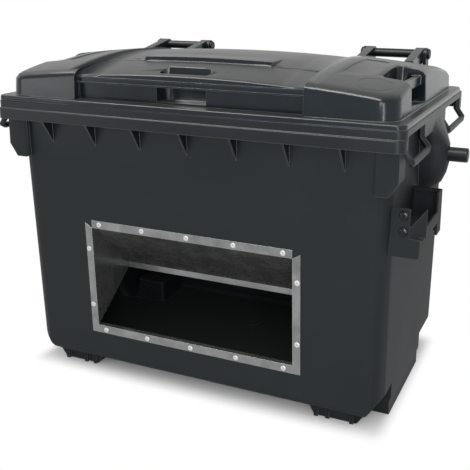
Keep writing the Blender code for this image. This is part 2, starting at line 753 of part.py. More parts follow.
def build_tub(coat):
    tub = tub_outer()
    unite(tub, rim_solid())
    add_gussets(tub)
    for _, side in side_frames():
        add_cheek(tub, side)
        for start, end in GRIP_SPANS:
            add_grip(tub, side, start, end)
    add_hinge_lugs(tub)
    cut(tub, tub_cavity())
    for _, side in side_frames():
        hollow_feet(tub, side)
    for frame in receiver_bolt_frames(1):
        cut(tub, rod("hole", BOLT_RADIUS + GAP, -receiver_stack() - REACH, 0.0, frame, segments=16))
    cut_chute_mouth(tub)
    drain = Matrix.Translation((PLUG_X, PLUG_Y, FLOOR_BOTTOM))
    cut(tub, rod("drain", PLUG_RADIUS + GAP, -REACH, FLOOR_THICKNESS + REACH, drain))
    tub.name = "tub"
    tub.data.materials.clear()
    tub.data.materials.append(coat)
    return tub


def build_drain_plug(coat):
    """A stepped push-in plug: its flange lies on the floor inside, and its stem fills the hole."""
    seat = FLOOR_BOTTOM + FLOOR_THICKNESS + GAP
    profile = [
        (0, FLOOR_BOTTOM - PLUG_TAIL),
        (PLUG_RADIUS, FLOOR_BOTTOM - PLUG_TAIL),
        (PLUG_RADIUS, seat),
        (PLUG_FLANGE, seat),
        (PLUG_FLANGE, seat + PLUG_FLANGE_HEIGHT),
        (0, seat + PLUG_FLANGE_HEIGHT),
    ]
    return revolved("drain_plug", profile, 24, Matrix.Translation((PLUG_X, PLUG_Y, 0.0)), coat)


def build_trunnions(coat):
    for name, side in side_frames():
        frame = along_x(0, TRUNNION_Y, TRUNNION_Z, side)
        profile = [
            (0, TRUNNION_ROOT),
            (TRUNNION_RADIUS, TRUNNION_ROOT),
            (TRUNNION_RADIUS, TRUNNION_TIP - TRUNNION_CHAMFER),
            (TRUNNION_RADIUS - TRUNNION_CHAMFER, TRUNNION_TIP),
            (0, TRUNNION_TIP),
        ]
        revolved(f"trunnion_{name}", profile, 24, frame, coat)


def receiver_front(name, side, root, coat):
    """The upright front wall, and above the rail a ramp from it out to the pocket's face."""
    back = RECEIVER_FRONT + RECEIVER_WALL
    edges = sorted((side * root, side * RECEIVER_FRONT_FACE))
    plan = (*edges, RECEIVER_FRONT, back)
    low = RECEIVER_BOTTOM
    front = box(f"receiver_{name}", *plan, low, RECEIVER_RAIL_BOTTOM + RECEIVER_WALL, coat)
    round_edges(front, RECEIVER_CORNER, lambda edge: edge_runs(edge, 1) and edge_below(edge, low + OVERLAP))
    ramp_back = RECEIVER_FRONT + RECEIVER_RAMP_LENGTH
    outline = [
        (root, RECEIVER_FRONT),
        (RECEIVER_RAMP_X, RECEIVER_FRONT),
        (RECEIVER_FACE, ramp_back),
        (RECEIVER_FACE, ramp_back + RECEIVER_WALL),
        (RECEIVER_FACE - RECEIVER_WALL, ramp_back + RECEIVER_WALL),
        (RECEIVER_RAMP_X, back),
        (root, back),
    ]
    outline = [(side * x, y) for x, y in outline]
    unite(front, prism("ramp", outline, "Z", RECEIVER_RAIL_BOTTOM, RECEIVER_TOP))
    slope = (RECEIVER_RAMP_HIGH - RECEIVER_RAMP_LOW) / (RECEIVER_FACE - RECEIVER_RAMP_X)
    outside = RECEIVER_FACE + REACH
    above = [
        (RECEIVER_RAMP_X, RECEIVER_RAMP_LOW),
        (outside, RECEIVER_RAMP_LOW + slope * (outside - RECEIVER_RAMP_X)),
        (outside, RECEIVER_TOP + REACH),
        (RECEIVER_RAMP_X, RECEIVER_TOP + REACH),
    ]
    cut(front, side_prism("above", above, side, RECEIVER_FRONT - REACH, ramp_back + RECEIVER_WALL + OVERLAP))
    return front


def build_receiver(name, side, coat):
    """An open-topped pocket: a front wall with a ramp, a rail with a rear post, a rear wall and a floor."""
    root = body_plan(RECEIVER_BOTTOM)[1] - REACH
    receiver = receiver_front(name, side, root, coat)
    ramp_back = RECEIVER_FRONT + RECEIVER_RAMP_LENGTH
    post = RECEIVER_BACK - RECEIVER_POST
    rail = [
        (ramp_back, RECEIVER_RAIL_BOTTOM),
        (post, RECEIVER_RAIL_BOTTOM),
        (post, RECEIVER_POST_BOTTOM),
        (RECEIVER_BACK, RECEIVER_POST_BOTTOM),
        (RECEIVER_BACK, RECEIVER_TOP),
        (post, RECEIVER_TOP),
        (post, RECEIVER_RAIL_TOP),
        (ramp_back, RECEIVER_RAIL_TOP),
    ]
    face = sorted((side * (RECEIVER_FACE - RECEIVER_WALL), side * RECEIVER_FACE))
    unite(receiver, prism("rail", rail, "X", *face))
    across = sorted((side * root, side * (RECEIVER_FACE - OVERLAP)))
    rear = (RECEIVER_BACK - RECEIVER_WALL, RECEIVER_BACK)
    unite(receiver, box("rear", *across, *rear, RECEIVER_POST_BOTTOM, RECEIVER_TOP))
    lip = (RECEIVER_BACK - RECEIVER_LIP, RECEIVER_BACK - OVERLAP)
    unite(receiver, box("lip", *across, *lip, RECEIVER_TOP - RECEIVER_LIP, RECEIVER_TOP - GAP))
    floor_start = RECEIVER_FRONT + receiver_stack() + GAP
    floor = (floor_start, RECEIVER_BACK - OVERLAP)
    floor_top = RECEIVER_RAIL_BOTTOM + RECEIVER_WALL
    unite(receiver, box("floor", *across, *floor, RECEIVER_RAIL_BOTTOM, floor_top))
    fit = (RECEIVER_BOTTOM - REACH, RECEIVER_TOP + REACH)
    plans = [body_plan(z, -GAP) for z in fit]
    cut(receiver, tapered_box("wall", fit[0], plans[0], fit[1], plans[1], BODY_CORNER + GAP))
    for frame in receiver_bolt_frames(side):
        cut(receiver, rod("hole", BOLT_RADIUS + GAP, -RECEIVER_WALL - OVERLAP, REACH, frame, segments=16))
    return receiver


def build_receiver_bolts(name, side, coat):
    """Dome-head bolts through the front wall and the tub's rib, each with a nut behind."""
    nut_top = -receiver_stack() - GAP
    nut_end = nut_top - NUT_HEIGHT
    for index, frame in enumerate(receiver_bolt_frames(side), 1):
        end = nut_end - BOLT_TAIL
        head = dome(BOLT_HEAD_RADIUS, GAP, BOLT_HEAD_HEIGHT, 3)
        revolved(
            f"receiver_bolt_{name}_{index}",
            [(0, end), (BOLT_RADIUS, end), (BOLT_RADIUS, GAP), *head],
            16,
            frame,
            coat,
        )
        nut = rod(f"receiver_nut_{name}_{index}", NUT_RADIUS, nut_end, nut_top, frame, coat, segments=6)
        cut(nut, rod("bore", BOLT_RADIUS + GAP, end, 0.0, frame, segments=16))


def thicken(sheet):
    """Turns flat faces that share fold lines into sheet metal, on the side that they face."""
    modifier = sheet.modifiers.new("sheet", "SOLIDIFY")
    modifier.thickness = CHUTE_SHEET
    modifier.offset = 1.0
    modifier.use_even_offset = True
    bpy.context.view_layer.update()
    graph = bpy.context.evaluated_depsgraph_get()
    mesh = bpy.data.meshes.new_from_object(sheet.evaluated_get(graph))
    sheet.modifiers.remove(modifier)
    sheet.data = mesh


def hood_profile():
    """The hood's fold lines in section, as (rise, out) on the chute's frame."""
    _, half_height = throat()
    return [
        (CHUTE_HALF_HEIGHT, GAP),
        (half_height, GAP),
        (CHUTE_LIP_RISE, -CHUTE_DEPTH),
        (CHUTE_LIP_RISE - CHUTE_LIP, -CHUTE_DEPTH),
    ]


def strip(name, section, half_width, coat):
    """A folded strip: a section of fold lines pushed across the chute."""
    bm = bmesh.new()
    left = [bm.verts.new((-half_width, rise, out)) for rise, out in section]
    right = [bm.verts.new((half_width, rise, out)) for rise, out in section]
    for index in range(len(section) - 1):
        bm.faces.new([left[index], left[index + 1], right[index + 1], right[index]])
    bm.normal_update()
    bm.faces.ensure_lookup_table()
    if bm.faces[0].normal.z < 0:
        bmesh.ops.reverse_faces(bm, faces=bm.faces)
    sheet = add_object(name, bm, coat, closed=False)
    thicken(sheet)
    return in_frame(sheet, wall_frame())


def build_chute(coat):
    half_width, half_height = throat()
    clear = half_width - CHUTE_SHEET - GAP
    hood = strip("chute_hood", hood_profile(), clear, coat)
    cut_rivet_holes(hood, "rivet_top")
    sill_section = [(-CHUTE_HALF_HEIGHT, GAP), (-half_height, GAP), (-half_height, -CHUTE_RETURN)]
    sill = strip("chute_sill", sill_section, clear, coat)
    cut_rivet_holes(sill, "rivet_bottom")
    for name, side in side_frames():
        build_chute_cheek(name, side, coat)


def build_chute_cheek(name, side, coat):
    """A side flange, mitred at its top, folded to the tapering plate that closes the hood's side."""
    half_width, half_height = throat()
    face = GAP + CHUTE_SHEET
    outer = side * CHUTE_HALF_WIDTH
    inner = side * (half_width - CHUTE_SHEET)
    top = CHUTE_HALF_HEIGHT - CHUTE_MITRE_DROP
    flange = [(outer, -CHUTE_HALF_HEIGHT), (inner, -CHUTE_HALF_HEIGHT), (inner, half_height), (outer, top)]
    cheek = prism(f"chute_cheek_{name}", flange, "Z", GAP, face, coat)
    lip = CHUTE_LIP_RISE - CHUTE_LIP
    start = face - GAP
    plate = [(half_height, start), (CHUTE_LIP_RISE, -CHUTE_DEPTH), (lip, -CHUTE_DEPTH), (-half_height, start)]
    unite(cheek, prism("plate", plate, "X", *sorted((inner, side * half_width))))
    in_frame(cheek, wall_frame())
    cut_rivet_holes(cheek, f"rivet_{name}")


def build_rivets(coat):
    """Blind rivets: a domed head on the sheet, a shank, and a bulb drawn up behind the wall."""
    seat = 2 * GAP + CHUTE_SHEET
    back = -WALL - GAP
    profile = [
        (0, back - RIVET_BULB_LENGTH),
        (RIVET_BULB_RADIUS, back - RIVET_BULB_LENGTH + RIVET_RADIUS),
        (RIVET_BULB_RADIUS, back),
        (RIVET_RADIUS, back),
        (RIVET_RADIUS, seat),
        *dome(RIVET_HEAD_RADIUS, seat, RIVET_HEAD_HEIGHT, 3),
    ]
    for name, x, rise in rivet_places():
        revolved(name, profile, RIVET_SIDES, wall_frame() @ Matrix.Translation((x, rise, 0)), coat)


def build_hinge_rods(rod_coat, cap_coat):
    """A tube through the arms and lugs, closed by a plug with a round head at each end."""
    _, outer = lug_offsets()
    half = outer + ROD_PROUD
    for name, side in side_frames():
        frame = along_x(side * HINGE_X, HINGE_Y, HINGE_Z)
        tube = [(ROD_BORE, -half), (ROD_RADIUS, -half), (ROD_RADIUS, half), (ROD_BORE, half)]
        tube.append(tube[0])
        revolved(f"hinge_rod_{name}", tube, 24, frame, rod_coat)
        for place, end in (("inner", -side), ("outer", side)):
            cap_frame = along_x(side * HINGE_X, HINGE_Y, HINGE_Z, end)
            seat = half + GAP
            face = seat + CAP_THICKNESS
            profile = [
                (0, seat - CAP_SPIGOT),
                (ROD_BORE - GAP, seat - CAP_SPIGOT),
                (ROD_BORE - GAP, seat),
                (CAP_RADIUS, seat),
                (CAP_RADIUS, face - CAP_CHAMFER),
                (CAP_RADIUS - CAP_CHAMFER, face),
                (0, face),
            ]
            revolved(f"hinge_cap_{name}_{place}", profile, 20, cap_frame, cap_coat)


def rounded_fall(distance, radius):
    """How far a quarter round lies below its top, at a distance in from the outline."""
    inside = min(max(distance, 0.0), radius)
    return radius - math.sqrt(radius**2 - (radius - inside) ** 2)


def depth_in_plan(x, y, plan, corner):
    """The distance from a point in to the outline of a rounded rectangle."""
    left, right, front, back = plan
    a = abs(x - (left + right) / 2) - (right - left) / 2 + corner
    b = abs(y - (front + back) / 2) - (back - front) / 2 + corner
    outside = math.hypot(max(a, 0.0), max(b, 0.0))
    return corner - outside - min(max(a, b), 0.0)


def centre_height(x, y, drop):
    x_fall = CENTRE_SIDE_FALL * (x / CENTRE_HALF_WIDTH) ** 2
    y_fall = CENTRE_FRONT_FALL * ((y - LID_CROWN_Y) / (CENTRE_FRONT - LID_CROWN_Y)) ** 2
    edge = rounded_fall(y - CENTRE_FRONT - drop, CENTRE_LIP_RADIUS)
    tail = rounded_fall(DOME_BACK - drop - y, DOME_TAIL_RADIUS)
    return CENTRE_PEAK - drop - x_fall - y_fall - edge - tail


def block_height(x, y, drop):
    plan = (0.0, BLOCK_HALF_WIDTH - drop, BLOCK_FRONT + drop, DOME_BACK - drop)
    x_fall = BLOCK_SIDE_FALL * (x / BLOCK_HALF_WIDTH) ** 2
    y_fall = BLOCK_FRONT_FALL * ((y - LID_CROWN_Y) / (BLOCK_FRONT - LID_CROWN_Y)) ** 2
    edge = rounded_fall(depth_in_plan(abs(x), y, plan, BLOCK_CORNER - drop), BLOCK_EDGE)
    return BLOCK_PEAK - drop - x_fall - y_fall - edge


def domed_solid(name, plan, base, height, grid, dense=0):
    """A grid over a plan, raised to a height and closed to a base. dense crowds it to the outer side."""
    left, right, front, back = plan
    bm = bmesh.new()
    bmesh.ops.create_grid(bm, x_segments=grid[0], y_segments=grid[1], size=0.5)
    for vert in bm.verts:
        across = vert.co.x + 0.5
        along = (1 - math.cos(math.pi * (vert.co.y + 0.5))) / 2
        if dense > 0:
            across = math.sin(across * math.pi / 2)
        elif dense < 0:
            across = 1 - math.cos(across * math.pi / 2)
        x = left + across * (right - left)
        y = front + along * (back - front)
        vert.co = (x, y, height(x, y))
    pushed = bmesh.ops.extrude_face_region(bm, geom=list(bm.faces))
    flat = [item for item in pushed["geom"] if isinstance(item, bmesh.types.BMVert)]
    for vert in flat:
        vert.co.z = base
    inside = [e for e in bm.edges if all(v in flat for v in e.verts) and not e.is_boundary]
    bmesh.ops.dissolve_limit(bm, angle_limit=0.001, verts=flat, edges=inside)
    return add_object(name, bm)


def lid_form(drop):
    """The lid's body: a low centre between two raised end blocks. A drop gives the hollow inside it."""
    base = RIM_TOP - REACH if drop else RIM_TOP + GAP + OVERLAP
    coarse = 2 if drop else 1
    centre_grid = [count // coarse for count in CENTRE_GRID]
    block_grid = [count // coarse for count in BLOCK_GRID]
    front = BLOCK_FRONT + drop
    back = DOME_BACK - drop
    half = CENTRE_HALF_WIDTH + CENTRE_TUCK
    plan = (-half, half, CENTRE_FRONT + drop, back)
    form = domed_solid("lid", plan, base, lambda x, y: centre_height(x, y, drop), centre_grid)
    half = BLOCK_HALF_WIDTH - drop
    low = (-half, half, front, back)
    high = (-half + BLOCK_DRAFT, half - BLOCK_DRAFT, front + BLOCK_DRAFT, back)
    for _, side in side_frames():
        near, far = sorted((side * (CENTRE_HALF_WIDTH + drop), side * half))
        plan = (near, far, front, back)
        block = domed_solid("block", plan, base, lambda x, y: block_height(x, y, drop), block_grid, side)
        trim = tapered_box("trim", base - OVERLAP, low, LID_CLEAR, high, BLOCK_CORNER - drop)
        combine(block, trim, "INTERSECT")
        unite(form, block)
    return form


def front_grip_tools(inset):
    """The hand hole behind the front bar: an upright well and the opening under the bar."""
    half = GRIP_HALF_WIDTH + inset
    edges = (GRIP_X - half, GRIP_X + half)
    low = GRIP_FLOOR - inset
    back = GRIP_POCKET_BACK + inset
    plan = (*edges, CENTRE_FRONT + GRIP_BAR_DEPTH - inset, back)
    well = tapered_box("well", low, plan, LID_CLEAR, plan, GRIP_CORNER + inset)
    unite(well, box("mouth", *edges, FRONT, back - GRIP_CORNER - inset, low, BAND_BOTTOM + inset))
    return well


def side_grip_tools(side, inset):
    """The hand hole round a side bar that is set back from the block's outer face, open at its top."""
    bar_outer = BLOCK_HALF_WIDTH - SIDE_GRIP_SETBACK
    bar_inner = bar_outer - SIDE_GRIP_BAR_DEPTH
    low = GRIP_FLOOR - inset
    span = (SIDE_GRIP_FRONT - inset, SIDE_GRIP_BACK + inset)
    inner = SIDE_GRIP_INNER - inset
    corner = SIDE_GRIP_CORNER + inset
    well_plan = (*sorted((side * inner, side * (bar_inner + inset))), *span)
    mouth_x = sorted((side * (inner + corner), side * RIM_WIDTH / 2))
    well = tapered_box("well", low, well_plan, LID_CLEAR, well_plan, corner)
    unite(well, box("mouth", *mouth_x, *span, low, SIDE_GRIP_BAR_BOTTOM + inset))
    unite(well, box("above", *mouth_x, *span, SIDE_GRIP_BAR_TOP - inset, LID_CLEAR))
    ahead = sorted((side * (bar_outer - inset), side * RIM_WIDTH / 2))
    unite(well, box("ahead", *ahead, *span, low, LID_CLEAR))
    return well


def arm_outline():
    """A hinge arm in side view: from the lid's top back to an eye round the rod."""
    root = HINGE_Y - ARM_LENGTH
    foot = DOME_BACK - LID_WALL / 2
    return [
        (root, block_height(HINGE_X, root, 0.0) - ARM_SINK),
        (foot, LID_FLANGE_TOP + ARM_FOOT_RISE),
        (foot, HINGE_Z - ARM_EYE_RADIUS - ARM_NECK),
        *arc(HINGE_Y, HINGE_Z, ARM_EYE_RADIUS, -80, 115, 14),
    ]


def add_arms(lid):
    for _, side in side_frames():
        for end in (-1, 1):
            near = side * HINGE_X + end * ARM_INNER
            far = near + end * ARM_THICKNESS
            unite(lid, prism("arm", arm_outline(), "X", min(near, far), max(near, far)))
        frame = along_x(side * HINGE_X, HINGE_Y, HINGE_Z)
        reach = ARM_INNER + ARM_THICKNESS + REACH
        cut(lid, rod("bore", ROD_RADIUS + ROD_CLEARANCE, -reach, reach, frame))


def lid_hollow():
    """The lid's inside, with walls left standing round the hand holes."""
    hollow = lid_form(LID_WALL)
    setback = CENTRE_FRONT + PANEL_SETBACK + LID_WALL
    half = CENTRE_HALF_WIDTH + LID_WALL
    cut(hollow, box("panel", -half, half, FRONT, setback, RIM_TOP - 2 * REACH, BAND_BOTTOM + LID_WALL))
    cut(hollow, front_grip_tools(LID_WALL))
    for _, side in side_frames():
        cut(hollow, side_grip_tools(side, LID_WALL))
    return hollow


def raised_height(x, y):
    """The platform's top: proud of the dome at its front, and run out into it at its back."""
    run_out = (RAISED_HEIGHT + RAISED_SINK) * (y - RAISED_FRONT) / RAISED_LENGTH
    return centre_height(x, y, -RAISED_HEIGHT) - run_out


def raised_panel():
    """The low platform on the middle of the lid."""
    plan = (-RAISED_HALF_WIDTH, RAISED_HALF_WIDTH, RAISED_FRONT, RAISED_FRONT + RAISED_LENGTH)
    return domed_solid("panel", plan, BAND_BOTTOM, raised_height, RAISED_GRID)


def cut_block_recess(lid, side):
    """The shallow oblong recess in the top of an end block."""
    plan = (*sorted((side * RECESS_INNER, side * RECESS_OUTER)), RECESS_FRONT, RECESS_FRONT + RECESS_LENGTH)
    floor = domed_solid("recess", plan, LID_CLEAR, lambda x, y: block_height(x, y, RECESS_DEPTH), RECESS_GRID)
    cut(lid, floor)


def front_panel_cut():
    """What is cut away below the front band, back to the panel behind it."""
    half = CENTRE_HALF_WIDTH - GAP
    return box("front_panel", -half, half, FRONT, CENTRE_FRONT + PANEL_SETBACK, LID_FLANGE_TOP, BAND_BOTTOM)


def add_lips(lid):
    """The two thin lips along the front band, at its top and its bottom."""
    half = CENTRE_HALF_WIDTH + OVERLAP
    depth = (CENTRE_FRONT - LIP_PROUD, CENTRE_FRONT + OVERLAP)
    top = centre_height(CENTRE_HALF_WIDTH, CENTRE_FRONT + CENTRE_LIP_RADIUS, 0.0) - OVERLAP
    for level in (top - LIP_HEIGHT, BAND_BOTTOM + GAP):
        unite(lid, box("lip", -half, half, *depth, level, level + LIP_HEIGHT))


def cut_lug_notches(lid):
    """Slots in the flange's rear edge, which the tub's hinge lugs stand in."""
    inner, outer = lug_offsets()
    for _, side in side_frames():
        for end in (-1, 1):
            near, far = sorted((side * HINGE_X + end * inner, side * HINGE_X + end * outer))
            slot = (near - LUG_NOTCH, far + LUG_NOTCH, LUG_FOOT_FRONT - LUG_NOTCH, LID_BACK + REACH)
            cut(lid, box("notch", *slot, RIM_TOP - REACH, LID_FLANGE_TOP + REACH))


def build_lid(coat):
    half = LID_HALF_WIDTH
    plan = (-half, half, LID_FRONT, LID_BACK)
    lid = tapered_box("lid", RIM_TOP + GAP, plan, LID_FLANGE_TOP, plan, LID_CORNER)
    cut_lug_notches(lid)
    unite(lid, lid_form(0.0))
    unite(lid, raised_panel())
    cut(lid, front_panel_cut())
    add_lips(lid)
    add_arms(lid)
    cut(lid, lid_hollow())
    cut(lid, front_grip_tools(0.0))
    for _, side in side_frames():
        cut(lid, side_grip_tools(side, 0.0))
        cut_block_recess(lid, side)
    lid.name = "lid"
    lid.data.materials.clear()
    lid.data.materials.append(coat)
    return lid


def hang_lid(lid):
    """Gives the lid its hinge axis as origin, under an empty on that axis."""
    axis = bpy.data.objects.new("lid_hinge_axis", None)
    axis.location = (0.0, HINGE_Y, HINGE_Z)
    BIN.objects.link(axis)
    lid.data.transform(Matrix.Translation((0.0, -HINGE_Y, -HINGE_Z)))
    lid.parent = axis


def main():
    body_plastic = principled("body_plastic", (0.028, 0.030, 0.032), 0.42, 0.0)
    lid_plastic = principled("lid_plastic", (0.040, 0.043, 0.047), 0.34, 0.0)
    black_plastic = principled("black_plastic", (0.012, 0.012, 0.013), 0.30, 0.0)
    galvanised = principled("galvanised_sheet", (0.42, 0.43, 0.44), 0.38, 0.9)
    bright_metal = principled("bright_metal", (0.78, 0.78, 0.79), 0.28, 0.9)
    dark_steel = principled("dark_steel", (0.060, 0.060, 0.062), 0.30, 0.8)
    build_tub(body_plastic)
    build_drain_plug(black_plastic)
    build_trunnions(black_plastic)
    build_receiver("right", 1, body_plastic)
    build_receiver_bolts("right", 1, dark_steel)
    build_chute(galvanised)
    build_rivets(bright_metal)
    build_hinge_rods(black_plastic, black_plastic)
    hang_lid(build_lid(lid_plastic))


main()
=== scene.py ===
import json
import math

import bmesh
import bpy
from mathutils import Matrix, Vector
from mathutils.bvhtree import BVHTree

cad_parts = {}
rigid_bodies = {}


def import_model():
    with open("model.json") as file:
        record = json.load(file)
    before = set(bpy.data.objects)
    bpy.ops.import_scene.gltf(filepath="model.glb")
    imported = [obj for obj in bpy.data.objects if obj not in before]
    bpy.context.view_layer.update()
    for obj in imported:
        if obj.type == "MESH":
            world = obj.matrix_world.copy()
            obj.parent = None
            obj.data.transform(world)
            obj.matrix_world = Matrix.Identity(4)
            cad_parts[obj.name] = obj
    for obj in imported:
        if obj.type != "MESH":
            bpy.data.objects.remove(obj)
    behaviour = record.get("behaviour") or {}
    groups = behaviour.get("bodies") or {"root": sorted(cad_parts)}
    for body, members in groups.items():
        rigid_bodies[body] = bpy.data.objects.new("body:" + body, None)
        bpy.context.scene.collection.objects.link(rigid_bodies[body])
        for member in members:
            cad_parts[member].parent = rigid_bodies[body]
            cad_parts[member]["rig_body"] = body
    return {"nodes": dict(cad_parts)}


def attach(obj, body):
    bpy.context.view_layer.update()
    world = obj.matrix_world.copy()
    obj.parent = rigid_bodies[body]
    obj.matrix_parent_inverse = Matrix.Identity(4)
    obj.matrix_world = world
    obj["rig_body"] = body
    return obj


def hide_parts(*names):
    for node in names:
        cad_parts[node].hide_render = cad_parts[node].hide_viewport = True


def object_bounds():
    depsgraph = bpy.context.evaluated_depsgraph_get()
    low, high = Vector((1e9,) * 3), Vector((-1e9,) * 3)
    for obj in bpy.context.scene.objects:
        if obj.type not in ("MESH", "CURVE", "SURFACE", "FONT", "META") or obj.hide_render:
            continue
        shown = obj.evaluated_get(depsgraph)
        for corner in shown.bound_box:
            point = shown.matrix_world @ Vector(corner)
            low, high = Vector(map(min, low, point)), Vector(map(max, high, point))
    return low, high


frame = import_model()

cad_low, cad_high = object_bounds()

# Tub
# The body is one shell of polyethylene, moulded with its rim, gussets, corner blocks, loops, lugs and feet.
# The mould leaves every edge a little round, and the skin satin with a fine grain and faint rub marks.
rim_tops = (0.812, 0.834)
rim_rounding = 0.0035
least_outer_x = 0.565
least_outer_y = 0.330
level_slack = 0.0005
smooth_angle = math.radians(32.0)


def merged_node(node):
    """A CAD node's skin as one merged bmesh."""
    bm = bmesh.new()
    bm.from_mesh(frame["nodes"][node].data)
    bmesh.ops.remove_doubles(bm, verts=bm.verts, dist=2e-5)
    return bm


def new_piece(name, bm, body, material):
    """Makes a piece of a bmesh that moves with a body."""
    mesh = bpy.data.meshes.new(name)
    bm.to_mesh(mesh)
    bm.free()
    mesh.shade_smooth()
    mesh.materials.append(material)
    piece = bpy.data.objects.new(name, mesh)
    bpy.context.scene.collection.objects.link(piece)
    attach(piece, body)
    return piece


def weigh_flat_faces(piece):
    """Keeps wide faces shaded flat beside their rounded edges."""
    level = piece.modifiers.new("flat_faces", "WEIGHTED_NORMAL")
    level.keep_sharp = True
    level.weight = 60


def on_outer_top(edge, heights):
    """Whether an edge lies at one of the heights, between a level top and a wall that faces outward."""
    first, second = (vert.co for vert in edge.verts)
    off_height = min(abs(end.z - height) for end in (first, second) for height in heights)
    if not edge.is_convex or off_height > level_slack or abs(first.z - second.z) > level_slack:
        return False
    wall, top = sorted((face.normal for face in edge.link_faces), key=lambda normal: abs(normal.z))
    if abs(wall.z) > 0.15 or top.z < 0.9:
        return False
    middle = (first + second) / 2
    outward_in_x = abs(wall.x) < 0.05 or (wall.x * middle.x > 0.0 and abs(middle.x) > least_outer_x)
    outward_in_y = abs(wall.y) < 0.05 or (wall.y * middle.y > 0.0 and abs(middle.y) > least_outer_y)
    return outward_in_x and outward_in_y


def smooth_copy(node, material, top_heights, rounding):
    """A CAD node's skin with whole flats and rounded outer top edges, shaded smooth up to an angle."""
    bm = merged_node(node)
    bmesh.ops.dissolve_limit(bm, angle_limit=math.radians(0.3), verts=bm.verts, edges=bm.edges)
    bm.normal_update()
    chosen = [edge for edge in bm.edges if on_outer_top(edge, top_heights)]
    bmesh.ops.bevel(bm, geom=chosen, offset=rounding, segments=4, profile=0.5, affect="EDGES", material=-1)
    piece = new_piece(node + "_finished", bm, frame["nodes"][node]["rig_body"], material)
    piece.data.set_sharp_from_angle(angle=smooth_angle)
    weigh_flat_faces(piece)
    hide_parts(node)
    return piece


def add_node(tree, kind, inputs, **settings):
    """Adds a shader node with its settings. Each input gets a socket to read or a value."""
    node = tree.nodes.new("ShaderNode" + kind)
    for setting, value in settings.items():
        setattr(node, setting, value)
    for key, given in inputs.items():
        if isinstance(given, bpy.types.NodeSocket):
            tree.links.new(given, node.inputs[key])
        else:
            node.inputs[key].default_value = given
    return node


def new_group(name, inputs, outputs):
    """An empty shader group with its named sockets."""
    group = bpy.data.node_groups.new(name, "ShaderNodeTree")
    for in_out, sockets in (("INPUT", inputs), ("OUTPUT", outputs)):
        for socket, kind in sockets.items():
            group.interface.new_socket(socket, in_out=in_out, socket_type="NodeSocket" + kind)
    return group, group.nodes.new("NodeGroupInput"), group.nodes.new("NodeGroupOutput")


def new_material(name):
    """A material with its node tree and its shader."""
    material = bpy.data.materials.new(name)
    material.use_nodes = True
    return material, material.node_tree, material.node_tree.nodes["Principled BSDF"]


def moulded_skin_group():
    """Moulded polyethylene: a fine grain as height, and a colour and roughness that vary with a slow mottle.
    Thin rub marks lighten it, and hands polish it near the rim."""
    group, given, put = new_group(
        "moulded_skin",
        {"Vector": "Vector", "Deep": "Color", "Worn": "Color", "Dull": "Float", "Polished": "Float"},
        {"Colour": "Color", "Roughness": "Float", "Height": "Float"},
    )
    vector = given.outputs["Vector"]
    grain = add_node(group, "TexNoise", {"Vector": vector, "Scale": 420.0, "Detail": 2.0})
    mottle = add_node(group, "TexNoise", {"Vector": vector, "Scale": 7.0, "Detail": 5.0, "Roughness": 0.6})
    stretched = add_node(
        group, "Mapping", {"Vector": vector, "Rotation": (0.3, 0.2, 0.5), "Scale": (1.0, 0.35, 2.2)}
    )
    marks = add_node(
        group,
        "TexNoise",
        {
            "Vector": stretched.outputs["Vector"],
            "Scale": 26.0,
            "Detail": 6.0,
            "Roughness": 0.75,
            "Distortion": 1.2,
        },
    )
    rub = add_node(group, "MapRange", {"Value": marks.outputs["Fac"], "From Min": 0.62, "From Max": 0.80})
    shade = add_node(
        group,
        "MapRange",
        {"Value": mottle.outputs["Fac"], "From Min": 0.35, "From Max": 0.75, "To Max": 0.45},
    )
    lighter = add_node(
        group,
        "Math",
        {0: shade.outputs["Result"], 1: rub.outputs["Result"]},
        operation="ADD",
        use_clamp=True,
    )
    colour = add_node(
        group,
        "Mix",
        {"Factor": lighter.outputs["Value"], "A": given.outputs["Deep"], "B": given.outputs["Worn"]},
        data_type="RGBA",
    )
    along = add_node(group, "SeparateXYZ", {"Vector": vector})
    polish = add_node(
        group,
        "MapRange",
        {
            "Value": along.outputs["Z"],
            "From Min": 0.66,
            "From Max": 0.78,
            "To Min": given.outputs["Dull"],
            "To Max": given.outputs["Polished"],
        },
    )
    cloudy = add_node(
        group,
        "Math",
        {0: mottle.outputs["Fac"], 1: 0.16, 2: polish.outputs["Result"]},
        operation="MULTIPLY_ADD",
    )
    group.links.new(colour.outputs["Result"], put.inputs["Colour"])
    group.links.new(cloudy.outputs["Value"], put.inputs["Roughness"])
    group.links.new(grain.outputs["Fac"], put.inputs["Height"])
    return group


def dust_and_top_light_group():
    """Grey dust and painted top light on level faces: it pales the colour of faces that look up and dulls
    their gloss.
    """
    group, given, put = new_group(
        "dust_and_top_light",
        {"Colour": "Color", "Roughness": "Float", "Normal": "Vector", "Most": "Float"},
        {"Colour": "Color", "Roughness": "Float"},
    )
    facing = add_node(group, "SeparateXYZ", {"Vector": given.outputs["Normal"]})
    upward_share = add_node(
        group,
        "MapRange",
        {
            "Value": facing.outputs["Z"],
            "From Min": 0.55,
            "From Max": 0.95,
            "To Max": given.outputs["Most"],
        },
    )
    # Painted top light: this grey is partly real dust and partly painted light that makes faces that look up
    # lighter.
    dust_and_top_light_grey = (0.0520, 0.0525, 0.0495, 1.0)
    colour = add_node(
        group,
        "Mix",
        {"Factor": upward_share.outputs["Result"], "A": given.outputs["Colour"], "B": dust_and_top_light_grey},
        data_type="RGBA",
    )
    dulled = add_node(
        group,
        "Math",
        {0: upward_share.outputs["Result"], 1: 0.28, 2: given.outputs["Roughness"]},
        operation="MULTIPLY_ADD",
    )
    group.links.new(colour.outputs["Result"], put.inputs["Colour"])
    group.links.new(dulled.outputs["Value"], put.inputs["Roughness"])
    return group


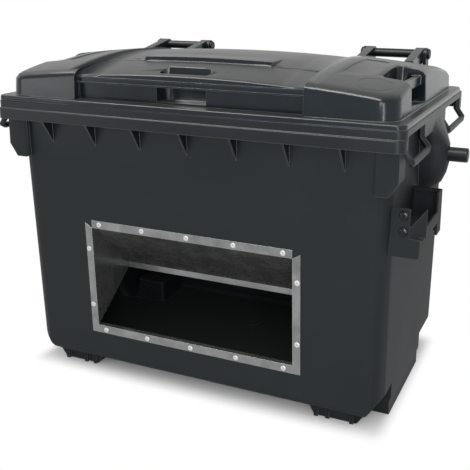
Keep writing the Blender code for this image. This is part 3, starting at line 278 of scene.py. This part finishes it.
def edge_wear_and_highlight_group():
    """Worn edges with a painted highlight: a normal that is rounded over a radius, and where it turns a
    lighter colour, part wear and part painted highlight, and a dulling.
    """
    group, given, put = new_group(
        "edge_wear_and_highlight",
        {"Colour": "Color", "Bared_and_lit": "Color", "Roughness": "Float", "Dulling": "Float", "Radius": "Float"},
        {"Colour": "Color", "Roughness": "Float", "Normal": "Vector"},
    )
    rounded = add_node(group, "Bevel", {"Radius": given.outputs["Radius"]}, samples=6)
    surface = add_node(group, "NewGeometry", {})
    turned = add_node(
        group,
        "VectorMath",
        {0: rounded.outputs["Normal"], 1: surface.outputs["Normal"]},
        operation="DOT_PRODUCT",
    )
    edge = add_node(
        group,
        "MapRange",
        {"Value": turned.outputs["Value"], "From Min": 0.985, "From Max": 0.80},
    )
    colour = add_node(
        group,
        "Mix",
        {"Factor": edge.outputs["Result"], "A": given.outputs["Colour"], "B": given.outputs["Bared_and_lit"]},
        data_type="RGBA",
    )
    dulled = add_node(
        group,
        "Math",
        {0: edge.outputs["Result"], 1: given.outputs["Dulling"], 2: given.outputs["Roughness"]},
        operation="MULTIPLY_ADD",
    )
    group.links.new(colour.outputs["Result"], put.inputs["Colour"])
    group.links.new(dulled.outputs["Value"], put.inputs["Roughness"])
    group.links.new(rounded.outputs["Normal"], put.inputs["Normal"])
    return group


moulded_skin = moulded_skin_group()
dust_and_top_light = dust_and_top_light_group()
edge_wear_and_highlight = edge_wear_and_highlight_group()


def moulded_plastic(name, deep, worn, scuff_and_highlight, dull, polished, top_dust_and_light, grain_depth, edge_round, end_round_and_sheen=None):
    """Moulded plastic between a deep and a worn colour, with dust and painted top light on level faces, and
    scuffed edges that carry a painted highlight.
    Where a round for the end blocks is given, edges on the lid's end blocks are rounded by it and the others
    by edge_round; the wider rounding there spreads the painted highlight into a broad painted sheen."""
    material, tree, shader = new_material(name)
    shader.inputs["IOR"].default_value = 1.34
    place = add_node(tree, "TexCoord", {})
    radius = edge_round
    if end_round_and_sheen:
        along = add_node(tree, "SeparateXYZ", {"Vector": place.outputs["Object"]})
        outward = add_node(tree, "Math", {0: along.outputs["X"]}, operation="ABSOLUTE")
        wider = add_node(
            tree,
            "MapRange",
            {
                "Value": outward.outputs["Value"],
                "From Min": 0.343,
                "From Max": 0.352,
                "To Min": edge_round,
                "To Max": end_round_and_sheen,
            },
        )
        radius = wider.outputs["Result"]
    skin = add_node(
        tree,
        "Group",
        {
            "Vector": place.outputs["Object"],
            "Deep": (*deep, 1.0),
            "Worn": (*worn, 1.0),
            "Dull": dull,
            "Polished": polished,
        },
        node_tree=moulded_skin,
    )
    dusted_and_top_lit = add_node(
        tree,
        "Group",
        {
            "Colour": skin.outputs["Colour"],
            "Roughness": skin.outputs["Roughness"],
            "Normal": place.outputs["Normal"],
            "Most": top_dust_and_light,
        },
        node_tree=dust_and_top_light,
    )
    wear_and_highlight = add_node(
        tree,
        "Group",
        {
            "Colour": dusted_and_top_lit.outputs["Colour"],
            "Bared_and_lit": (*scuff_and_highlight, 1.0),
            "Roughness": dusted_and_top_lit.outputs["Roughness"],
            "Dulling": 0.0,
            "Radius": radius,
        },
        node_tree=edge_wear_and_highlight,
    )
    bump = add_node(
        tree,
        "Bump",
        {
            "Strength": 0.35,
            "Distance": grain_depth,
            "Height": skin.outputs["Height"],
            "Normal": wear_and_highlight.outputs["Normal"],
        },
    )
    tree.links.new(wear_and_highlight.outputs["Colour"], shader.inputs["Base Color"])
    tree.links.new(wear_and_highlight.outputs["Roughness"], shader.inputs["Roughness"])
    tree.links.new(bump.outputs["Normal"], shader.inputs["Normal"])
    return material


# The scuffed colour on edges is partly wear and partly painted highlight; the dust on level faces is partly
# painted top light.
body_plastic = moulded_plastic(
    "body_plastic",
    deep=(0.0040, 0.0068, 0.0084),
    worn=(0.0110, 0.0150, 0.0172),
    scuff_and_highlight=(0.095, 0.100, 0.104),
    dull=0.60,
    polished=0.30,
    top_dust_and_light=0.35,
    grain_depth=0.0004,
    edge_round=0.0030,
)
smooth_copy("tub", body_plastic, rim_tops, rim_rounding)


# Drain plug and trunnions
# The drain plug is of the tub's own plastic and is pushed into the floor from inside.
# The trunnions are round pins of a smoother black plastic, set in the side cheeks.
def edge_room(edge, most):
    """How wide an edge can be rounded, given the edges that lie beside it on its two faces."""
    room = most
    for loop in edge.link_loops:
        for beside in (loop.link_loop_prev.edge, loop.link_loop_next.edge):
            room = min(room, 0.42 * beside.calc_length())
    return room


def rounded_copy(node, material, most_round):
    """A CAD node's skin with whole flats and its sharp edges rounded as far as they have room."""
    least_round = 0.0002
    least_angle = math.radians(24.0)
    bm = merged_node(node)
    bmesh.ops.dissolve_limit(bm, angle_limit=math.radians(0.5), verts=bm.verts, edges=bm.edges)
    weights = bm.edges.layers.float.new("bevel_weight_edge")
    for edge in bm.edges:
        if not edge.is_manifold or edge.calc_face_angle() < least_angle:
            continue
        room = edge_room(edge, most_round)
        if room > least_round:
            edge[weights] = room / most_round
    piece = new_piece(node + "_finished", bm, frame["nodes"][node]["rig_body"], material)
    rounding = piece.modifiers.new("edge_rounding", "BEVEL")
    rounding.limit_method = "WEIGHT"
    rounding.width = most_round
    rounding.segments = 3
    rounding.use_clamp_overlap = False
    weigh_flat_faces(piece)
    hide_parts(node)


# The scuffed colour on edges is partly wear and partly painted highlight.
black_plastic = moulded_plastic(
    "black_plastic",
    deep=(0.0030, 0.0040, 0.0052),
    worn=(0.0095, 0.0110, 0.0130),
    scuff_and_highlight=(0.040, 0.040, 0.040),
    dull=0.34,
    polished=0.34,
    top_dust_and_light=0.0,
    grain_depth=0.00005,
    edge_round=0.0010,
)
rounded_copy("drain_plug", body_plastic, most_round=0.0015)
for node in ("trunnion_left", "trunnion_right"):
    rounded_copy(node, black_plastic, most_round=0.0015)

# Receiver
# An open pocket for a lifting arm on the right side, of the tub's plastic.
# It is moulded by itself and bolted to a rib on the wall.
rounded_copy("receiver_right", body_plastic, most_round=0.0025)


# Receiver bolts and nuts
# Blackened steel bolts with domed heads run through the receiver's front wall and the rib.
# Each is drawn up by a nut behind the rib.
def metal_dulling_group():
    """Metal that varies in fine specks between a bright, smooth shade and a dull, rough one."""
    group, given, put = new_group(
        "metal_dulling",
        {"Vector": "Vector", "Bright": "Color", "Dull": "Color", "Smooth": "Float", "Rough": "Float"},
        {"Colour": "Color", "Roughness": "Float"},
    )
    specks = add_node(group, "TexNoise", {"Vector": given.outputs["Vector"], "Scale": 180.0, "Detail": 4.0})
    colour = add_node(
        group,
        "Mix",
        {"Factor": specks.outputs["Fac"], "A": given.outputs["Bright"], "B": given.outputs["Dull"]},
        data_type="RGBA",
    )
    gloss = add_node(
        group,
        "MapRange",
        {
            "Value": specks.outputs["Fac"],
            "To Min": given.outputs["Smooth"],
            "To Max": given.outputs["Rough"],
        },
    )
    group.links.new(colour.outputs["Result"], put.inputs["Colour"])
    group.links.new(gloss.outputs["Result"], put.inputs["Roughness"])
    return group


metal_dulling = metal_dulling_group()


def metal_material(name, bright, dull, smooth, rough, metallic):
    """Metal between a bright and a dull shade, with fine dulling."""
    material, tree, shader = new_material(name)
    shader.inputs["Metallic"].default_value = metallic
    place = add_node(tree, "TexCoord", {})
    dulling = add_node(
        tree,
        "Group",
        {
            "Vector": place.outputs["Object"],
            "Bright": (*bright, 1.0),
            "Dull": (*dull, 1.0),
            "Smooth": smooth,
            "Rough": rough,
        },
        node_tree=metal_dulling,
    )
    tree.links.new(dulling.outputs["Colour"], shader.inputs["Base Color"])
    tree.links.new(dulling.outputs["Roughness"], shader.inputs["Roughness"])
    return material


dark_steel = metal_material(
    "dark_steel",
    bright=(0.030, 0.030, 0.032),
    dull=(0.014, 0.014, 0.015),
    smooth=0.12,
    rough=0.24,
    metallic=0.9,
)
for fixing in ("bolt", "nut"):
    for number in (1, 2):
        rounded_copy(f"receiver_{fixing}_right_{number}", dark_steel, most_round=0.0008)


# Chute
# Four pieces of folded galvanised sheet line a cut in the front wall: a sloping hood, two cheeks and a sill.
# The zinc shows a soft spangle, the sheet is a little wavy, and its folds and cut edges carry a painted
# highlight.
def galvanised_material():
    """Hot-dip zinc: spangle cells and a cloudy bloom that differ in shade and gloss, on a wavy sheet."""
    material, tree, shader = new_material("galvanised_sheet")
    shader.inputs["Metallic"].default_value = 0.85
    place = add_node(tree, "TexCoord", {}).outputs["Object"]
    warp = add_node(tree, "TexNoise", {"Vector": place, "Scale": 60.0, "Detail": 3.0})
    shift = add_node(
        tree,
        "Mix",
        {"Factor": 0.02, "A": place, "B": warp.outputs["Color"]},
        data_type="VECTOR",
    )
    spangle = add_node(tree, "TexVoronoi", {"Vector": shift.outputs["Result"], "Scale": 75.0})
    shade = add_node(tree, "RGBToBW", {"Color": spangle.outputs["Color"]})
    bloom = add_node(tree, "TexNoise", {"Vector": place, "Scale": 20.0, "Detail": 2.0, "Roughness": 0.5})
    both = add_node(
        tree,
        "Mix",
        {"Factor": 0.88, "A": shade.outputs["Val"], "B": bloom.outputs["Fac"]},
    )
    contrast = add_node(
        tree,
        "MapRange",
        {"Value": both.outputs["Result"], "From Min": 0.25, "From Max": 0.75},
    )
    dark_zinc = (0.172, 0.181, 0.177, 1.0)
    light_zinc = (0.280, 0.279, 0.278, 1.0)
    colour = add_node(
        tree,
        "Mix",
        {"Factor": contrast.outputs["Result"], "A": dark_zinc, "B": light_zinc},
        data_type="RGBA",
    )
    gloss = add_node(tree, "MapRange", {"Value": both.outputs["Result"], "To Min": 0.18, "To Max": 0.36})
    # The light colour on folds and cut edges is a painted highlight.
    wear_and_highlight = add_node(
        tree,
        "Group",
        {
            "Colour": colour.outputs["Result"],
            "Bared_and_lit": (0.52, 0.55, 0.57, 1.0),
            "Roughness": gloss.outputs["Result"],
            "Dulling": 0.45,
            "Radius": 0.0016,
        },
        node_tree=edge_wear_and_highlight,
    )
    wave = add_node(tree, "TexNoise", {"Vector": place, "Scale": 14.0, "Detail": 0.5})
    bump = add_node(tree, "Bump", {"Strength": 0.5, "Distance": 0.0045, "Height": wave.outputs["Fac"]})
    tree.links.new(wear_and_highlight.outputs["Colour"], shader.inputs["Base Color"])
    tree.links.new(wear_and_highlight.outputs["Roughness"], shader.inputs["Roughness"])
    tree.links.new(bump.outputs["Normal"], shader.inputs["Normal"])
    return material


galvanised_sheet = galvanised_material()
for node in ("chute_hood", "chute_sill", "chute_cheek_left", "chute_cheek_right"):
    rounded_copy(node, galvanised_sheet, most_round=0.0005)

# Rivets
# Aluminium blind rivets hold the chute: a low round head on the sheet with the hole that the pulled pin left,
# a shank through the wall and a bulb drawn up behind it.
bright_metal = metal_material(
    "bright_metal",
    bright=(0.60, 0.60, 0.59),
    dull=(0.47, 0.47, 0.47),
    smooth=0.30,
    rough=0.50,
    metallic=0.35,
)
wall_lean = math.radians(2.43)
wall_normal = Vector((0.0, -math.cos(wall_lean), -math.sin(wall_lean)))
head_height = 0.0028
# Radius and height above the sheet, from the bulb's tip round the head to the floor of the pin's hole.
rivet_section = (
    (0.0, -0.0144),
    (0.0042, -0.0120),
    (0.0042, -0.0084),
    (0.0024, -0.0084),
    (0.0024, 0.0),
    (0.0078, 0.0),
    (0.0078, 0.0008),
    (0.0066, 0.0020),
    (0.0046, head_height),
    (0.0027, 0.0026),
    (0.0021, 0.0020),
    (0.0021, -0.0005),
    (0.0, -0.0005),
)
for node in sorted(frame["nodes"]):
    if not node.startswith("rivet_"):
        continue
    points = [vert.co for vert in frame["nodes"][node].data.vertices]
    crown = max(points, key=wall_normal.dot)
    bm = bmesh.new()
    line = [bm.verts.new((radius, 0.0, height)) for radius, height in rivet_section]
    runs = [bm.edges.new(pair) for pair in zip(line, line[1:])]
    bmesh.ops.spin(
        bm, geom=line + runs, cent=(0, 0, 0), axis=(0, 0, 1), angle=math.tau, steps=20, use_merge=True
    )
    bmesh.ops.remove_doubles(bm, verts=bm.verts, dist=1e-6)
    bmesh.ops.recalc_face_normals(bm, faces=bm.faces)
    seat = crown - head_height * wall_normal
    bm.transform(Matrix.Translation(seat) @ Matrix.Rotation(math.pi / 2 + wall_lean, 4, "X"))
    piece = new_piece(node + "_finished", bm, frame["nodes"][node]["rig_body"], bright_metal)
    piece.data.set_sharp_from_angle(angle=math.radians(40.0))
    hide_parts(node)

# Lid
# The lid is a second moulding in the same plastic, a little lighter and glossier, with a low domed middle
# between two raised end blocks. Hand holes pass through its front and ends, and four arms reach to the rods.
lid_flange_tops = (0.848,)
lid_flange_rounding = 0.0055
# The scuffed colour on edges is partly wear and partly painted highlight, widened on the end blocks into a
# painted sheen; the dust on level faces is partly painted top light.
lid_plastic = moulded_plastic(
    "lid_plastic",
    deep=(0.0040, 0.0075, 0.0110),
    worn=(0.0160, 0.0230, 0.0300),
    scuff_and_highlight=(0.16, 0.17, 0.185),
    dull=0.12,
    polished=0.10,
    top_dust_and_light=0.70,
    grain_depth=0.0003,
    edge_round=0.0014,
    end_round_and_sheen=0.0045,
)
lid = smooth_copy("lid", lid_plastic, lid_flange_tops, lid_flange_rounding)

# Lid markings
# The mould leaves a plain ring on the right block and low fold lines from the raised panel out to the blocks.
# They are part of the lid, less than a millimetre proud.
lid_top = BVHTree.FromPolygons(
    [vert.co.copy() for vert in lid.data.vertices], [tuple(face.vertices) for face in lid.data.polygons]
)


def laid_on_lid(bm):
    """Lowers a flat shape onto the lid's top, point by point."""
    above = cad_high[2] + 0.1
    for vert in bm.verts:
        hit = lid_top.ray_cast(Vector((vert.co.x, vert.co.y, above)), Vector((0.0, 0.0, -1.0)))[0]
        vert.co.z += hit.z
    return bm


ring_radius = 0.045
ring_wire = 0.0012
ring_flattening = 0.6
ring_place = (0.494, -0.2735, 0.0)
bm = bmesh.new()
upright = Matrix.Translation((ring_radius, 0, 0)) @ Matrix.Rotation(math.pi / 2, 4, "X")
bmesh.ops.create_circle(bm, segments=8, radius=ring_wire, matrix=upright)
round_line = bm.verts[:] + bm.edges[:]
bmesh.ops.spin(
    bm, geom=round_line, cent=(0, 0, 0), axis=(0, 0, 1), angle=math.tau, steps=64, use_merge=True
)
bmesh.ops.scale(bm, vec=(1.0, 1.0, ring_flattening), verts=bm.verts)
bmesh.ops.translate(bm, vec=ring_place, verts=bm.verts)
bmesh.ops.recalc_face_normals(bm, faces=bm.faces)
new_piece("lid_ring", laid_on_lid(bm), "lid", lid_plastic)

fold_width = 0.0050
fold_height = 0.0014
for name, start, end in (
    ("lid_fold_right", Vector((0.194, -0.2100)), Vector((0.337, -0.2060))),
    ("lid_fold_left", Vector((-0.337, -0.2060)), Vector((-0.194, -0.2100))),
):
    run = end - start
    middle = (start + end) / 2
    bm = bmesh.new()
    bmesh.ops.create_cube(bm, size=1.0)
    bmesh.ops.scale(bm, vec=(run.length, fold_width, fold_height), verts=bm.verts)
    long_edges = [edge for edge in bm.edges if edge.calc_length() > 0.9 * run.length]
    bmesh.ops.subdivide_edges(bm, edges=long_edges, cuts=16, use_grid_fill=True)
    turn = Matrix.Rotation(math.atan2(run.y, run.x), 4, "Z")
    bm.transform(Matrix.Translation((middle.x, middle.y, 0.0)) @ turn)
    new_piece(name, laid_on_lid(bm), "lid", lid_plastic)

# Hinge rods and caps
# Two black plastic tubes run through the lid's arms and the tub's lugs.
# Plugs with round heads are pushed into their ends and keep them in place.
for side in ("left", "right"):
    for node in (f"hinge_rod_{side}", f"hinge_cap_{side}_inner", f"hinge_cap_{side}_outer"):
        rounded_copy(node, black_plastic, most_round=0.0012)

# Stage
# A plain white floor that keeps the shadow near the bin, a white surround, and lamps at the front and left.
# The long strip overhead lights gloss alone: edges catch it, and colours render about as written.
floor_mesh = bpy.data.meshes.new("floor")
bm = bmesh.new()
bmesh.ops.create_grid(bm, x_segments=1, y_segments=1, size=8.0)
bm.to_mesh(floor_mesh)
bm.free()
floor = bpy.data.objects.new("floor", floor_mesh)
bpy.context.scene.collection.objects.link(floor)

shadow_room = (0.53, 0.29, 0.0)
shadow_narrowing = (2.0, 1.4, 0.0)
shadow_fade = 0.10
floor_paint, tree, plain_shader = new_material("floor_paint")
tree.nodes.remove(plain_shader)
place = add_node(tree, "TexCoord", {})
folded = add_node(tree, "VectorMath", {0: place.outputs["Object"]}, operation="ABSOLUTE")
beyond = add_node(tree, "VectorMath", {0: folded.outputs["Vector"], 1: shadow_room}, operation="SUBTRACT")
outside = add_node(tree, "VectorMath", {0: beyond.outputs["Vector"]}, operation="MAXIMUM")
narrow = add_node(
    tree, "VectorMath", {0: outside.outputs["Vector"], 1: shadow_narrowing}, operation="MULTIPLY"
)
reach = add_node(tree, "VectorMath", {0: narrow.outputs["Vector"]}, operation="LENGTH")
far = add_node(
    tree,
    "MapRange",
    {"Value": reach.outputs["Value"], "From Min": 0.0, "From Max": shadow_fade},
    interpolation_type="SMOOTHSTEP",
)
rays = add_node(tree, "LightPath", {})
seen = add_node(
    tree,
    "Math",
    {0: rays.outputs["Is Camera Ray"], 1: rays.outputs["Is Glossy Ray"]},
    operation="MAXIMUM",
)
seen_through = add_node(
    tree,
    "Math",
    {0: seen.outputs["Value"], 1: rays.outputs["Is Transmission Ray"]},
    operation="MAXIMUM",
)
shown = add_node(
    tree,
    "Math",
    {0: far.outputs["Result"], 1: seen_through.outputs["Value"]},
    operation="MULTIPLY",
)
paper = add_node(tree, "BsdfDiffuse", {"Color": (0.82, 0.82, 0.82, 1.0)})
far_white = add_node(tree, "Emission", {})
blend = add_node(
    tree,
    "MixShader",
    {"Fac": shown.outputs["Value"], 1: paper.outputs["BSDF"], 2: far_white.outputs["Emission"]},
)
tree.links.new(blend.outputs["Shader"], tree.nodes["Material Output"].inputs["Surface"])
floor_mesh.materials.append(floor_paint)

world = bpy.data.worlds.new("studio")
world.use_nodes = True
bpy.context.scene.world = world
surround = world.node_tree.nodes["Background"]
surround.inputs["Color"].default_value = (1.0, 1.0, 1.0, 1.0)
surround.inputs["Strength"].default_value = 1.0

for name, place, aim, size, power, lights_all in (
    ("strip_lamp", (-0.5, -1.0, 2.9), (0.0, -0.2, 0.6), (3.4, 0.60), 150.0, False),
    ("left_lamp", (-2.5, -2.7, 0.9), (-0.3, -0.3, 0.8), (1.0, 0.7), 8.0, True),
    ("fill_lamp", (1.0, -2.4, 1.35), (-0.05, 0.0, 0.25), (0.5, 0.5), 12.0, True),
    ("front_lamp", (1.65, -2.5, 0.75), (0.4, -0.3, 0.7), (0.15, 1.2), 16.0, True),
):
    lamp = bpy.data.lights.new(name, "AREA")
    lamp.shape = "RECTANGLE"
    lamp.size, lamp.size_y = size
    lamp.energy = power
    holder = bpy.data.objects.new(name, lamp)
    holder.location = place
    holder.rotation_euler = (Vector(aim) - Vector(place)).to_track_quat("-Z", "Y").to_euler()
    holder.visible_diffuse = lights_all
    bpy.context.scene.collection.objects.link(holder)

# Camera
# It stands at the front right, a little above the lid, as in the photograph.
# The shift keeps the photograph's framing.
camera_drop = 13.75
camera_turn = 24.53
camera_data = bpy.data.cameras.new("camera")
camera_data.sensor_width = 36.0
camera_data.lens = 60.1
camera_data.shift_x = -0.0214
camera_data.shift_y = -0.1388
camera = bpy.data.objects.new("camera", camera_data)
camera.location = (0.9971, -2.1402, 1.1774)
camera.rotation_euler = (math.radians(90.0 - camera_drop), 0.0, math.radians(camera_turn))
bpy.context.scene.collection.objects.link(camera)
bpy.context.scene.camera = camera
bpy.context.scene.view_settings.view_transform = "Standard"
